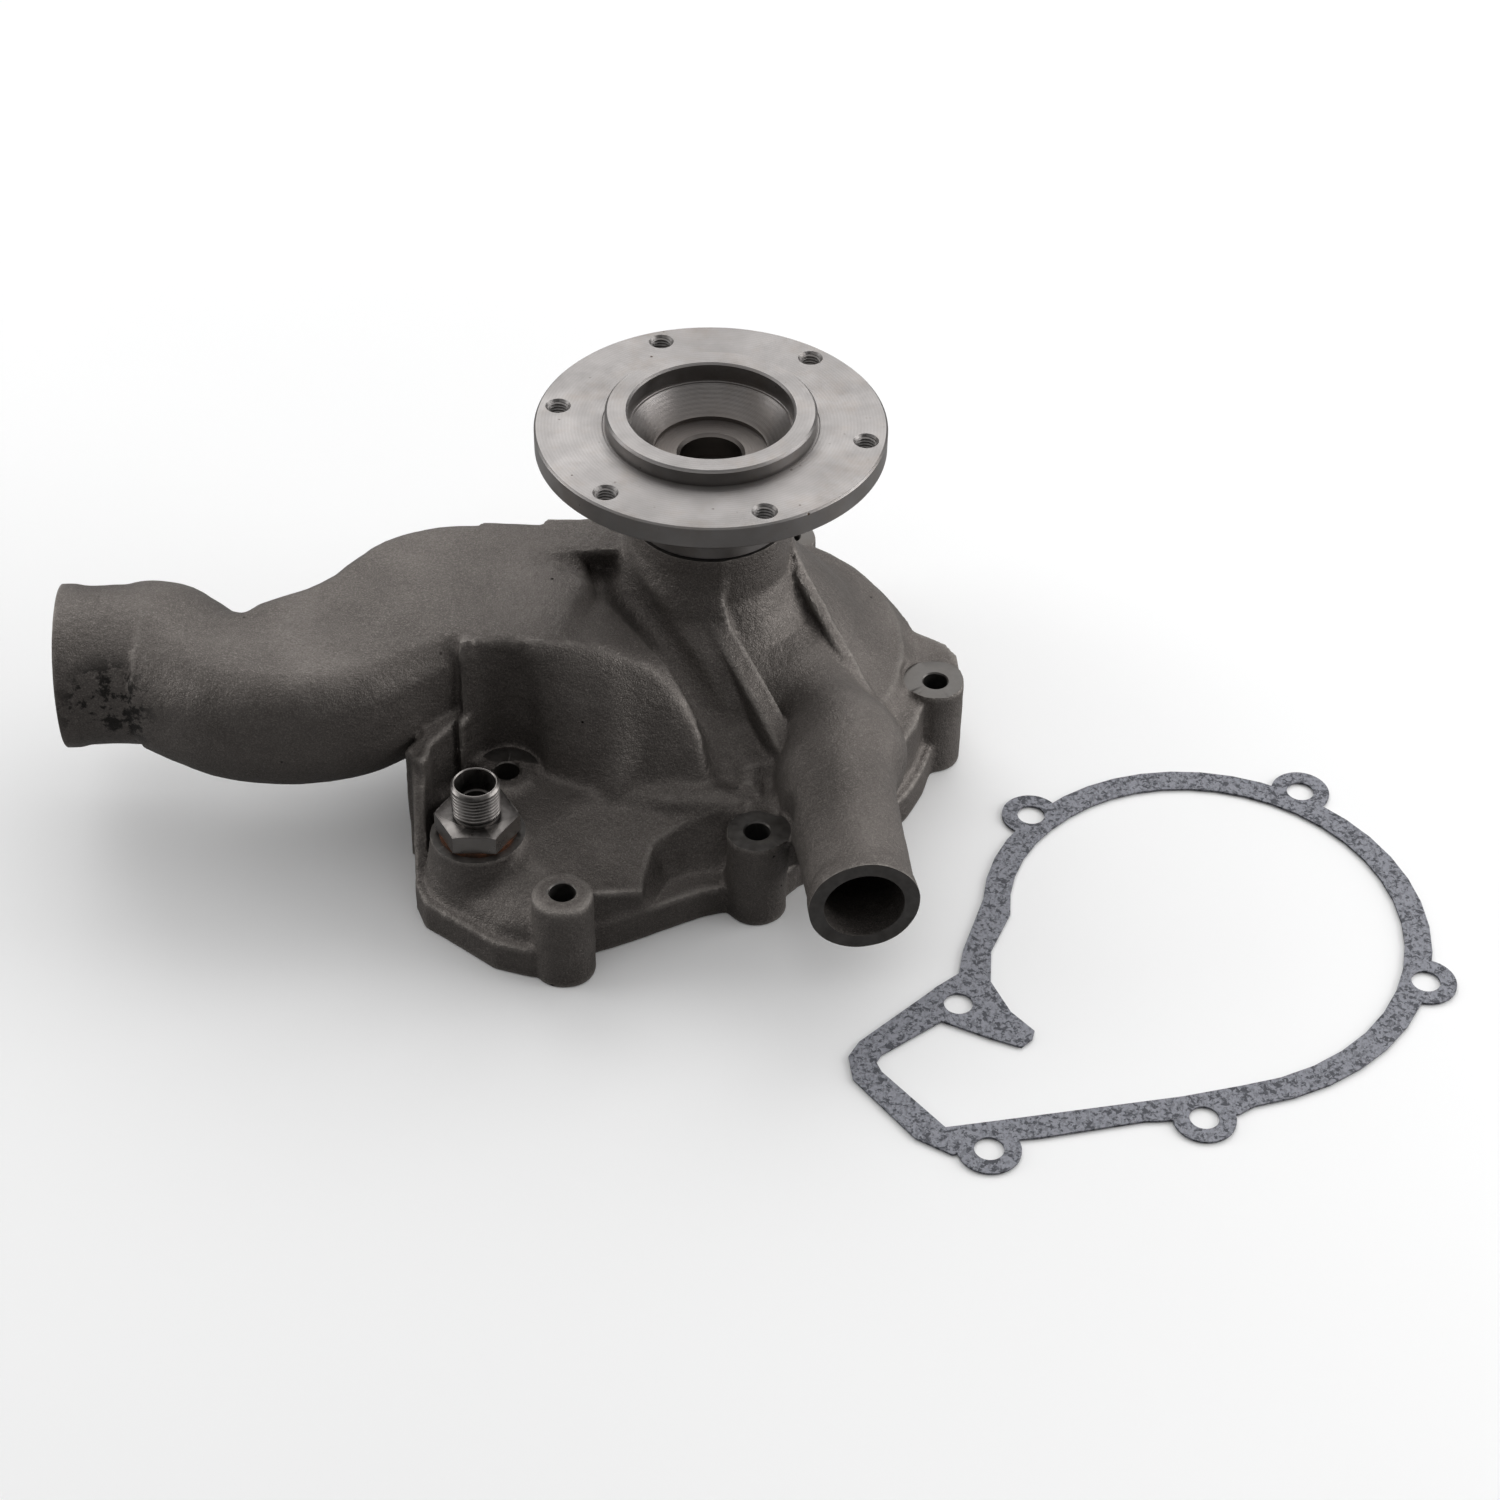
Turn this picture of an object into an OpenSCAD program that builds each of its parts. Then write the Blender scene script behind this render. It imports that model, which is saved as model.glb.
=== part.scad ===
// Engine water pump with a cast housing, a flanged pulley hub and a lying gasket.
// Frame: origin where the shaft axis meets the engine block face, +Z up the shaft
// towards the pulley, -X towards the mouth of the inlet pipe. Millimetres.

/* [Housing] */
// Thickness of the mounting flange
flange_t = 13; // [10:1:16]
// Height of the bolt bosses above the block face
boss_h = 37; // [35:1:39]
// Radius of the bolt bosses
boss_r = 11.2; // [10:0.1:12]
// Diameter of the bolt holes in the bosses
bolt_hole_d = 9.5; // [9:0.1:10.5]
// Height of the roof over the volute and the outlet port
deck_h = 35; // [33:0.5:36]
// Outer diameter of the bearing neck
neck_d = 60; // [58:1:64]
// Height of the neck's rim above the block face
neck_top = 105.6; // [105:0.1:106]

/* [Pipes] */
// Outer diameter of the inlet spigot
inlet_d = 60; // [58:1:62]
// Bore of the inlet pipe
inlet_bore = 49; // [46:1:50]
// Height of the inlet pipe's axis
inlet_z = 61; // [60:1:62]
// Outer diameter of the bypass spigot
bypass_d = 38.6; // [36:0.2:40]
// Bore of the bypass pipe
bypass_bore = 29; // [26:1:30]
// Height of the bypass pipe's axis
bypass_z = 42; // [42:0.5:43]

/* [Pulley hub] */
// Diameter of the hub flange
hub_d = 130; // [120:1:140]
// Thickness of the hub flange
hub_t = 9.2; // [8:0.1:10]
// Height of the pulley seat above the block face
hub_z = 145; // [144:0.5:146]
// Diameter of the ring that centres the pulley
pilot_d = 78; // [74:1:80]
// Height of the centring ring
pilot_h = 6; // [4:0.5:8]
// Bolt circle of the pulley screws
hub_pcd = 115; // [110:0.5:116]
// Core diameter of the M8 pulley threads
hub_hole_d = 6.8; // [6.6:0.1:7]

/* [Bearings] */
// Outer diameter of both ball bearings
bearing_od = 47; // [47:1:47]
// Bore of both ball bearings
bearing_id = 20; // [20:1:20]
// Width of each ball bearing
bearing_w = 14; // [12:1:14]
// Diameter of a bearing ball
ball_d = 7.9; // [7:0.1:8]
// Number of balls in each bearing
ball_count = 8; // [6:1:8]

/* [Impeller] */
// Diameter of the impeller
impeller_d = 116; // [108:1:118]
// Number of impeller vanes
vane_count = 6; // [5:1:7]

/* [Gasket] */
// Thickness of the gasket
gasket_t = 0.8; // [0.5:0.1:1.5]
// Diameter of the bolt holes in the gasket
gasket_hole_d = 10.5; // [10:0.1:11]
// Width of the gasket's band round the volute
gasket_band = 10; // [9:0.5:11]

/* [Hidden] */
$fn = 64;
eps = 0.01;
fine = 96;

// Bolt positions, anticlockwise from the lobe behind the inlet
bolts = [[-68, 35], [30.5, 77], [87.5, -15], [19.5, -103], [-49.5, -137], [-74, -72]];
tool_r = 14;                    // room for a socket over a boss

// Union boss on the outlet port's roof
union_at = [-82, -106];
union_boss_r = 17.3;
union_thread_r = 9;
union_hex_af = 27;
union_washer_t = 1.5;

// The inlet pipe's axis seen from above: its straight spigot, the cast pipe and its bore
spigot_route = [[-240, -43.5], [-206, -41]];
cast_route = [[-206, -41], [-197.5, -40.375], [-187, -45], [-166, -54], [-146, -54], [-100, -37], [-50, -18]];
bore_route = [[-206, -41], [-187, -45], [-166, -54], [-146, -54], [-100, -37], [-20, -7]];
inlet_cast_r = inlet_d / 2 + 3;
bypass_at = [57.6, -147];
bypass_turn = 8;
bypass_len = 100;
bypass_land = 30;               // smooth length for the hose and its clamp

// Inside heights, from the block face up
volute_h = 24;
chamber_low = 32;
chamber_top = 57;
chamber_r = 50;
eye_r = 31;
seal_low = 45;
seal_bore_r = 18.5;
seal_boss_r = 23.5;
weep_z = 60.5;
weep_r = 2.5;
rear_z = 64;
spacer_w = 10;
front_z = rear_z + bearing_w + spacer_w;
ring_t = 1.75;
ring_groove_r = bearing_od / 2 + 1.25;

// Shaft and hub
shaft_r = bearing_id / 2;
shaft_low = 2.5;
shaft_high = 122;
hub_low = 107;
collar_r = 29;
hub_floor = 132;
hub_recess_r = 21;
hub_bore_r = 11.5;
hub_turn = -9.55;

// Seal stack
seal_top = seal_low + 12;
cup_t = 1;
carbon_low = 39;
seat_low = 33.6;
film = 0.1;

// Impeller
disc_t = 4;
vane_top = 23.2;
vane_t = 4.5;
vane_sweep = 62;
impeller_hub_r = 17.5;
impeller_top = 37;

// Running gaps in the bearings
run_gap = 0.05;

// The volute spiral: radius grows clockwise from the cutwater to the outlet port
spiral_start = 150;
spiral_turn = 220;
spiral_r = 65.5;
spiral_growth = 24;
spiral_power = 1.6;
cutwater_slope = 0.06;

function spiral(a) = a > spiral_start
    ? spiral_r + cutwater_slope * (a - spiral_start)
    : spiral_r + spiral_growth * pow((spiral_start - a) / spiral_turn, spiral_power);
function polar(r, a) = [r * cos(a), r * sin(a)];
function spiral_points(extra, a0, a1) =
    [for (i = [0 : 30]) let (a = a0 + (a1 - a0) * i / 30) polar(spiral(a) + extra, a)];

// Outline of the block face: the spiral band, then the outlet port
port_outer = [
    [-78, -45], [-77, -57], [-82, -64], [-104, -100], [-106, -108], [-102, -118],
    [-75, -139], [-61, -143], [-45, -132], [-33, -127], [0, -110], [5, -108.5], [31, -98]
];
port_inner = [
    [-68, -42], [-65, -58], [-55, -71], [-45, -78], [-45, -82], [-48, -87], [-60, -85.5],
    [-78, -82], [-95, -104], [-96, -108], [-93, -112], [-66, -131.5], [-50, -124], [11, -95]
];

module outer_outline(inset) {
    polygon(concat(spiral_points(gasket_band - inset, -69, 192), port_outer));
}

module inner_outline() {
    polygon(concat(spiral_points(0, -70, 198), port_inner));
}

module at_bolts() {
    for (p = bolts) translate(p) children();
}

// A ring or sleeve between two radii
module sleeve(r_in, r_out, low, high) {
    translate([0, 0, low]) difference() {
        cylinder(r = r_out, h = high - low, $fn = fine);
        translate([0, 0, -1]) cylinder(r = r_in, h = high - low + 2, $fn = fine);
    }
}

function heading(from, to) = atan2(to[1] - from[1], to[0] - from[0]);

// Heading at point i of a route: the mean of the legs that meet there
function bearing_at(route, i) =
    i == 0 ? heading(route[0], route[1])
    : i == len(route) - 1 ? heading(route[i - 1], route[i])
    : (heading(route[i - 1], route[i]) + heading(route[i], route[i + 1])) / 2;

// A strip of the given half width along a route, seen from above
module strip(route, half) {
    left = [for (i = [0 : len(route) - 1]) let (a = bearing_at(route, i))
        [route[i][0] - half * sin(a), route[i][1] + half * cos(a)]];
    right = [for (i = [len(route) - 1 : -1 : 0]) let (a = bearing_at(route, i))
        [route[i][0] + half * sin(a), route[i][1] - half * cos(a)]];
    polygon(concat(left, right));
}

// A level pipe with a stepped round section, made of slabs along its route
module slab_pipe(route, r, z) {
    for (a = [15 : 20 : 75])
        translate([0, 0, z - r * sin(a)]) linear_extrude(2 * r * sin(a)) strip(route, r * cos(a));
}

// The round spigot or bore along the route's first leg, from the mouth inwards
module mouth(d, before, after) {
    translate([spigot_route[0][0], spigot_route[0][1], inlet_z])
        rotate([0, 90, heading(spigot_route[0], spigot_route[1])]) translate([0, 0, -before])
            cylinder(d = d, h = norm(spigot_route[1] - spigot_route[0]) + before + after);
}

module at_bypass() {
    translate([bypass_at[0], bypass_at[1], bypass_z]) rotate([0, 0, bypass_turn])
        rotate([-90, 0, 0]) children();
}

// A flat-topped stiffening rib between two points of its top edge
module rib(from, to, width, depth) {
    flat = [to[0] - from[0], to[1] - from[1]];
    reach = norm(flat);
    translate([from[0], from[1], 0]) rotate([0, 0, atan2(flat[1], flat[0])])
        translate([0, width / 2, 0]) rotate([90, 0, 0]) linear_extrude(width)
            polygon([[0, from[2] - depth], [0, from[2]], [reach, to[2]], [reach, to[2] - depth]]);
}

module housing_outside() {
    linear_extrude(flange_t) outer_outline(0);
    linear_extrude(deck_h) outer_outline(3);
    at_bolts() cylinder(r = boss_r, h = boss_h);
    translate([union_at[0], union_at[1], 5]) cylinder(r = union_boss_r, h = boss_h - 5);
    // Dome, shoulder and bearing neck
    rotate_extrude($fn = fine) polygon([
        [0, 20], [78, 20], [78, 37], [74, 43], [64, 48], [57, 61], [44, 74], [35, 82],
        [neck_d / 2, 89], [neck_d / 2, neck_top], [0, neck_top]
    ]);
    // Inlet scroll that wraps the front of the neck
    linear_extrude(88) polygon([
        [-100, -58], [-62, -60], [-40, -52], [-22, -50], [0, -30], [0, 14], [-100, 8]
    ]);
    linear_extrude(62) polygon([[-45, -60], [-22, -64], [2, -68], [12, -60], [0, -20], [-45, -20]]);
    // Inlet pipe
    mouth(inlet_d, 0, -0.2);
    mouth(inlet_d - 2, 0, 3);
    slab_pipe(cast_route, inlet_cast_r, inlet_z);
    // Gusset from the flange's corner up to the pipe: an upright wall, then a diagonal one
    translate([-106, 0, 0]) rotate([90, 0, 90]) linear_extrude(5)
        polygon([[-107, 0], [-107, 12], [-80, 49], [-72, 49], [-72, 0]]);
    linear_extrude(52) polygon([[-106, -84], [-106, -76], [-90, -56], [-84, -61], [-101, -82]]);
    // Ear that backs the right-hand boss
    translate([0, 0, 5]) linear_extrude(31)
        polygon([[50, 30], [67, 24], [91.5, 8.5], [95.5, 2], [97, -12], [80, -20], [60, -20]]);
    at_bypass() cylinder(r = bypass_d / 2, h = bypass_land + 1);
    at_bypass() translate([0, 0, bypass_land])
        cylinder(r = bypass_d / 2 + 1, h = bypass_len - bypass_land);
    rib([2, -26, 84], [32, -72, 46], 7.5, 30);
    rib([27, 0, 90], [60, -33, 43], 4.5, 30);
    rib([-26, 0, 92], [-58, -4, 84], 5, 20);
}

module housing() {
    color("#6b655c") difference() {
        housing_outside();
        // Volute and outlet port, open to the block
        translate([0, 0, -1]) linear_extrude(volute_h + 1) inner_outline();
        translate([0, 0, volute_h - 1]) cylinder(r = eye_r, h = chamber_low - volute_h + 2);
        // Suction chamber round the seal boss
        difference() {
            translate([0, 0, chamber_low]) cylinder(r = chamber_r, h = chamber_top - chamber_low);
            translate([0, 0, seal_low - 1]) cylinder(r = seal_boss_r, h = 40);
        }
        mouth(inlet_bore, 1, 9);
        difference() {
            slab_pipe(bore_route, inlet_bore / 2, inlet_z);
            translate([0, 0, seal_low - 1]) cylinder(r = seal_boss_r + 10, h = 60);
        }
        at_bypass() translate([0, 0, -1]) cylinder(r = bypass_bore / 2, h = bypass_len);
        // Seal pocket, shaft hole, bearing bore and ring groove
        translate([0, 0, seal_low - 2]) cylinder(r = seal_bore_r, h = seal_top - seal_low + 2);
        translate([0, 0, seal_top - 1]) cylinder(r = 14, h = rear_z - seal_top + 2);
        translate([0, 0, rear_z]) cylinder(r = bearing_od / 2, h = neck_top, $fn = fine);
        translate([0, 0, front_z + bearing_w]) cylinder(r = ring_groove_r, h = ring_t, $fn = fine);
        // Weep hole from the slinger's gap to the outside, at the back
        translate([0, 0, weep_z]) rotate([0, 0, 60]) rotate([0, 90, 0]) cylinder(r = weep_r, h = 80);
        at_bolts() translate([0, 0, -1]) cylinder(d = bolt_hole_d, h = boss_h + 2);
        at_bolts() translate([0, 0, boss_h]) cylinder(r = tool_r, h = 80);
        translate([union_at[0], union_at[1], -1]) cylinder(r = union_thread_r, h = boss_h + 2);
        translate([union_at[0], union_at[1], boss_h]) cylinder(r = union_boss_r, h = 20);
    }
}

// Gasket, laid flat beside the pump
module gasket() {
    color("#8f98a6") translate([182.3, -101.9, 0]) rotate([0, 0, -14.28]) difference() {
        union() {
            linear_extrude(gasket_t) outer_outline(0);
            at_bolts() cylinder(r = boss_r, h = gasket_t);
        }
        translate([0, 0, -1]) linear_extrude(gasket_t + 2) inner_outline();
        at_bolts() translate([0, 0, -1]) cylinder(d = gasket_hole_d, h = gasket_t + 2);
    }
}

// Screwed union: threaded stem in the boss, hexagon, threaded end with a cone
module union_fitting() {
    seat = boss_h + union_washer_t;
    color("#7d7a76") translate([union_at[0], union_at[1], 0]) difference() {
        union() {
            translate([0, 0, volute_h + 2]) cylinder(r = union_thread_r, h = seat - volute_h);
            translate([0, 0, seat]) cylinder(d = union_hex_af / cos(30), h = 7.5, $fn = 6);
            translate([0, 0, seat + 7]) cylinder(r = union_thread_r - 1, h = 4);
            translate([0, 0, seat + 10]) cylinder(r = union_thread_r, h = 12.5);
        }
        translate([0, 0, 20]) cylinder(r = 5, h = 60);
        translate([0, 0, seat + 15]) cylinder(r1 = 6, r2 = 7.6, h = 8);
    }
}

module union_washer() {
    color("#8a5a3c") translate([union_at[0], union_at[1], 0])
        sleeve(union_thread_r + 0.3, union_hex_af / 2 + 0.6, boss_h, boss_h + union_washer_t);
}

// Pulley hub: flange with six threads, centring ring, coned recess and a pressed bore
module hub_flange() {
    color("#a3a09b") difference() {
        union() {
            translate([0, 0, hub_z - hub_t]) cylinder(d = hub_d, h = hub_t, $fn = fine);
            translate([0, 0, hub_z - 1]) cylinder(d = pilot_d, h = pilot_h + 1, $fn = fine);
            translate([0, 0, hub_low]) cylinder(r = collar_r, h = hub_z - hub_low - 1, $fn = fine);
        }
        translate([0, 0, hub_z - 2]) cylinder(r = 30.5, h = 20, $fn = fine);
        translate([0, 0, hub_floor]) cylinder(r1 = hub_recess_r, r2 = 29.5, h = hub_z - 2 - hub_floor + eps);
        translate([0, 0, hub_low - 1]) cylinder(r = shaft_r, h = 60, $fn = fine);
        translate([0, 0, shaft_high]) cylinder(r = hub_bore_r, h = 20, $fn = fine);
        for (i = [0 : 5]) rotate([0, 0, hub_turn + 60 * i])
            translate([hub_pcd / 2, 0, hub_z - hub_t - 1]) cylinder(d = hub_hole_d, h = hub_t + 2);
    }
}

module shaft() {
    color("#b5b5b5") {
        translate([0, 0, shaft_low]) cylinder(r = shaft_r, h = shaft_high - shaft_low, $fn = fine);
    }
}

// Ball bearing parts, standing on z = 0
ball_pitch_r = (bearing_od + bearing_id) / 4;
groove_r = ball_d / 2 + run_gap;

module ball_groove() {
    translate([0, 0, bearing_w / 2]) rotate_extrude($fn = fine)
        translate([ball_pitch_r, 0]) circle(r = groove_r);
}

module outer_race() {
    color("#c4c6c8") difference() {
        sleeve(ball_pitch_r + 2.7, bearing_od / 2, 0, bearing_w);
        ball_groove();
    }
}

module inner_race() {
    color("#c4c6c8") difference() {
        sleeve(bearing_id / 2, ball_pitch_r - 2.7, 0, bearing_w);
        ball_groove();
    }
}

module at_balls() {
    for (i = [0 : ball_count - 1]) rotate([0, 0, 360 / ball_count * i])
        translate([ball_pitch_r, 0, bearing_w / 2]) children();
}

module ball_set() {
    color("#d8dadc") at_balls() sphere(d = ball_d);
}

module ball_cage() {
    color("#b0884a") difference() {
        sleeve(ball_pitch_r - 1, ball_pitch_r + 1, bearing_w / 2 - 4.6, bearing_w / 2 + 4.6);
        at_balls() rotate([0, 90, 0]) cylinder(d = ball_d + 0.2, h = 10, center = true);
    }
}

module front_outer_race() {
    translate([0, 0, front_z]) outer_race();
}

module front_inner_race() {
    translate([0, 0, front_z]) inner_race();
}

module front_balls() {
    translate([0, 0, front_z]) ball_set();
}

module front_cage() {
    translate([0, 0, front_z]) ball_cage();
}

module rear_outer_race() {
    translate([0, 0, rear_z]) outer_race();
}

module rear_inner_race() {
    translate([0, 0, rear_z]) inner_race();
}

module rear_balls() {
    translate([0, 0, rear_z]) ball_set();
}

module rear_cage() {
    translate([0, 0, rear_z]) ball_cage();
}

module bearing_spacer() {
    color("#9a9c9e") sleeve(shaft_r, shaft_r + 3, rear_z + bearing_w, front_z);
}

// Open internal retaining ring above the front bearing
module retaining_ring() {
    color("#4a4c4e") difference() {
        sleeve(bearing_od / 2 - 2.6, ring_groove_r - 0.1, front_z + bearing_w, front_z + bearing_w + ring_t);
        translate([15, -3.5, front_z]) cube([20, 7, 30]);
    }
}

module slinger() {
    color("#3c3e42") {
        sleeve(shaft_r, shaft_r + 1.5, seal_top + 1, rear_z);
        sleeve(shaft_r, 13, seal_top + 3, seal_top + 4.5);
    }
}

// Mechanical seal: pressed cup, spring, bellows and carbon face; they stand still
module seal_cup() {
    color("#b9a26a") {
        sleeve(seal_bore_r - cup_t, seal_bore_r, seal_low - 2, seal_top);
        sleeve(shaft_r + 1.6, seal_bore_r, seal_top - cup_t, seal_top);
    }
}

// A round wire wound in a helix between two heights
module helix(radius, wire_r, low, high, turns) {
    steps = 20 * turns;
    sides = 8;
    points = [for (i = [0 : steps]) for (j = [0 : sides - 1])
        let (a = 360 * turns * i / steps, b = 360 * j / sides, r = radius + wire_r * cos(b))
        [r * cos(a), r * sin(a), low + wire_r + (high - low - 2 * wire_r) * i / steps + wire_r * sin(b)]];
    walls = [for (i = [0 : steps - 1]) for (j = [0 : sides - 1]) let (k = (j + 1) % sides)
        [i * sides + j, i * sides + k, (i + 1) * sides + k, (i + 1) * sides + j]];
    first = [for (j = [sides - 1 : -1 : 0]) j];
    last = [for (j = [0 : sides - 1]) steps * sides + j];
    polyhedron(points, concat([first, last], walls), convexity = 8);
}

module seal_spring() {
    color("#c9ccd0") helix(16, 0.8, carbon_low + 4.1, seal_top - cup_t - 0.1, 3);
}

module seal_bellows() {
    color("#2a2a2c") {
        sleeve(shaft_r + 1.8, shaft_r + 3.2, carbon_low + 4, seal_top - cup_t);
        sleeve(shaft_r + 1.8, seal_bore_r - 1.2, carbon_low + 3, carbon_low + 4);
    }
}

module carbon_ring() {
    color("#303236") sleeve(shaft_r + 1.8, shaft_r + 5.5, carbon_low, carbon_low + 3);
}

// Rotating seat, held in a rubber boot in the impeller's hub
module ceramic_seat() {
    color("#e8e4da") sleeve(shaft_r + 1.2, shaft_r + 5.8, seat_low, carbon_low - film);
}

module seat_boot() {
    color("#2a2a2c") {
        sleeve(shaft_r, shaft_r + 5.8, seat_low - 1.2, seat_low);
        sleeve(shaft_r, shaft_r + 1.2, seat_low, carbon_low - 1);
    }
}

// Open impeller: disc on the block side, vanes swept back, suction from above
module vane() {
    inner = 20;
    outer = impeller_d / 2 - 0.5;
    steps = 12;
    mid = [for (i = [0 : steps]) let (t = i / steps) [inner + (outer - inner) * t, vane_sweep * t * t]];
    left = [for (p = mid) polar(p[0], p[1] + vane_t / 2 / p[0] * 180 / PI)];
    right = [for (i = [steps : -1 : 0]) polar(mid[i][0], mid[i][1] - vane_t / 2 / mid[i][0] * 180 / PI)];
    translate([0, 0, shaft_low + disc_t - 1]) linear_extrude(vane_top - shaft_low - disc_t + 1)
        polygon(concat(left, right));
}

module impeller() {
    color("#8d8a84") difference() {
        union() {
            translate([0, 0, shaft_low]) cylinder(d = impeller_d, h = disc_t, $fn = fine);
            translate([0, 0, shaft_low]) cylinder(r = 22, h = 14);
            translate([0, 0, shaft_low]) cylinder(r = impeller_hub_r, h = impeller_top - shaft_low);
            for (i = [0 : vane_count - 1]) rotate([0, 0, 360 / vane_count * i]) vane();
        }
        translate([0, 0, -1]) cylinder(r = shaft_r, h = 60, $fn = fine);
        translate([0, 0, seat_low - 1.2]) cylinder(r = shaft_r + 5.8, h = 20, $fn = fine);
    }
}

housing();
gasket();
union_fitting();
union_washer();
hub_flange();
shaft();
front_outer_race();
front_inner_race();
front_balls();
front_cage();
rear_outer_race();
rear_inner_race();
rear_balls();
rear_cage();
bearing_spacer();
retaining_ring();
slinger();
seal_cup();
seal_spring();
seal_bellows();
carbon_ring();
ceramic_seat();
seat_boot();
impeller();
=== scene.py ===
"""Looks of a cast water pump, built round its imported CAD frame. Lengths in this script are millimetres."""

import math

import bmesh
import bpy
import numpy as np
from mathutils import Euler, Matrix, Vector


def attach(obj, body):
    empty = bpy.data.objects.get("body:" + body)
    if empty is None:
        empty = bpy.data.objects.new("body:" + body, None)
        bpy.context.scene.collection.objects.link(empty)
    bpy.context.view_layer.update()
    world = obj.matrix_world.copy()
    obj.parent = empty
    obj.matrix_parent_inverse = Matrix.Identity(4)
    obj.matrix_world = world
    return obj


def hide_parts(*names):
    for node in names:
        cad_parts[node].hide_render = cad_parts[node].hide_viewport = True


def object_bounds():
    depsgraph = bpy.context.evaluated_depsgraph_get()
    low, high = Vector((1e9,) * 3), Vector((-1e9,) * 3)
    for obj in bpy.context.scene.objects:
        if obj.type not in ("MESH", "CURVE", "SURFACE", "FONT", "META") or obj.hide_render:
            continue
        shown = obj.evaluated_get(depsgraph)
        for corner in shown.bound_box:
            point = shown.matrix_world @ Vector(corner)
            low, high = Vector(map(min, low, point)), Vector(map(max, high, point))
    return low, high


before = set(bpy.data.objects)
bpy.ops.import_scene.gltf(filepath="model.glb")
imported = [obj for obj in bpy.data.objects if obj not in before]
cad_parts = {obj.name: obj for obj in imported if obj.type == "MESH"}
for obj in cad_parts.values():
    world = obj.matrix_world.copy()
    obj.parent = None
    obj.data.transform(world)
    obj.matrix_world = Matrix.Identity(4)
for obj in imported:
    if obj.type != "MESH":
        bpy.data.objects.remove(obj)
cad_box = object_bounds()
MM = 0.001

# ---------------------------------------------------------------- driving dimensions
FLANGE_T, DECK_H, BOSS_H, BOSS_R = 13.0, 35.0, 37.0, 11.2
BOLT_HOLE_R, SPOT_R, SOCKET_R = 4.75, 12.3, 13.4
BOLTS = [(-68, 35), (30.5, 77), (87.5, -15), (19.5, -103), (-49.5, -137), (-74, -72)]
UNION_AT, UNION_BOSS_R, UNION_THREAD_R = (-82, -106), 17.3, 9.0
UNION_DEPTH, UNION_PITCH, UNION_HEX = 0.85, 1.5, 27.0
NECK_R, NECK_TOP = 30.0, 104.3
ROOF_Z = 88.0
INLET_Z, INLET_R = 61.0, 30.0
INLET_MOUTH, INLET_NEXT = (-240.0, -43.5), (-206.0, -41.0)
BYPASS_AT, BYPASS_Z, BYPASS_R, BYPASS_BORE_R = (57.6, -147.0), 42.0, 19.3, 14.5
BYPASS_TURN = math.radians(8)
HUB_R, HUB_T, HUB_Z, HUB_LOW = 65.0, 9.2, 145.0, 104.5
PILOT_R, PILOT_H, COLLAR_R = 39.0, 6.0, 29.4
HUB_FLOOR, HUB_RECESS_R, HUB_BORE_R, SHAFT_TOP, SHAFT_R = 132.0, 21.0, 11.5, 122.0, 10.0
HUB_HOLES_R, HUB_TURN = 57.5, math.radians(-9.55)
TAP_R, TAP_DEPTH, TAP_PITCH = 3.95, 0.62, 1.25
VOLUTE_H, CHAMBER_LOW, CHAMBER_TOP, CHAMBER_R, EYE_R = 24.0, 32.0, 57.0, 50.0, 31.0
SEAL_LOW, SEAL_TOP, SEAL_BORE_R, SEAL_BOSS_R, SHAFT_WAY_R = 45.0, 57.0, 18.5, 23.5, 14.0
REAR_Z, BEARING_R, RING_Z, RING_T = 64.0, 23.5, 102.0, 1.75


def spiral(angle):
    """Inner radius of the volute at an angle in degrees."""
    if angle > 150:
        return 65.5 + 0.06 * (angle - 150)
    return 65.5 + 24 * ((150 - angle) / 220) ** 1.6


def spiral_points(extra, start, end):
    turns = [start + (end - start) * i / 30 for i in range(31)]
    return [((spiral(a) + extra) * math.cos(math.radians(a)),
             (spiral(a) + extra) * math.sin(math.radians(a))) for a in turns]


PORT_OUTER = [(-78, -45), (-77, -57), (-82, -64), (-104, -100), (-106, -108), (-102, -118),
              (-75, -139), (-61, -143), (-45, -132), (-33, -127), (0, -110), (5, -108.5), (31, -98)]
DECK_FRONT = [(-78, -47), (-78, -58), (-83, -66), (-101, -97), (-102, -107), (-99, -115),
              (-74, -135), (-61, -139), (-45, -131), (-33, -126), (-20, -119), (-13.5, -104),
              (-6, -100), (8, -97.5)]
PORT_INNER = [(-68, -42), (-65, -58), (-55, -71), (-45, -78), (-45, -82), (-48, -87), (-60, -85.5),
              (-78, -82), (-95, -104), (-96, -108), (-93, -112), (-66, -131.5), (-50, -124), (11, -95)]
FLANGE_OUTLINE = spiral_points(10, -69, 192) + PORT_OUTER
DECK_OUTLINE = spiral_points(6, -69, 192) + DECK_FRONT
VALLEY = [(-61, -9.5, 93, 3), (-50, -10.5, 90, 4.5), (-44, -12, 88.5, 5.5), (-37, -15, 86.5, 6),
          (-29, -24, 81.5, 6), (-17, -40, 74.5, 6),
          (-6, -53, 63.5, 5.5), (4, -65, 51.5, 5.5), (8, -77, 42.5, 5.5)]
VOLUTE_OUTLINE = spiral_points(0, -70, 198) + PORT_INNER

# ---------------------------------------------------------------- the casting as a distance field
STEP = 1.3
LOW, HIGH = np.array([-247.0, -155.0, -6.0]), np.array([106.0, 95.0, 110.0])
xs, ys, zs = (np.arange(LOW[i], HIGH[i], STEP, dtype=np.float32) for i in range(3))
X, Y, Z = xs[:, None, None], ys[None, :, None], zs[None, None, :]
PX, PY = xs[:, None], ys[None, :]
R = np.hypot(X, Y)


def join(a, b, blend):
    """Union of two fields with a fillet."""
    h = np.clip(0.5 + 0.5 * (b - a) / blend, 0, 1)
    return b * (1 - h) + a * h - blend * h * (1 - h)


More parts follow.
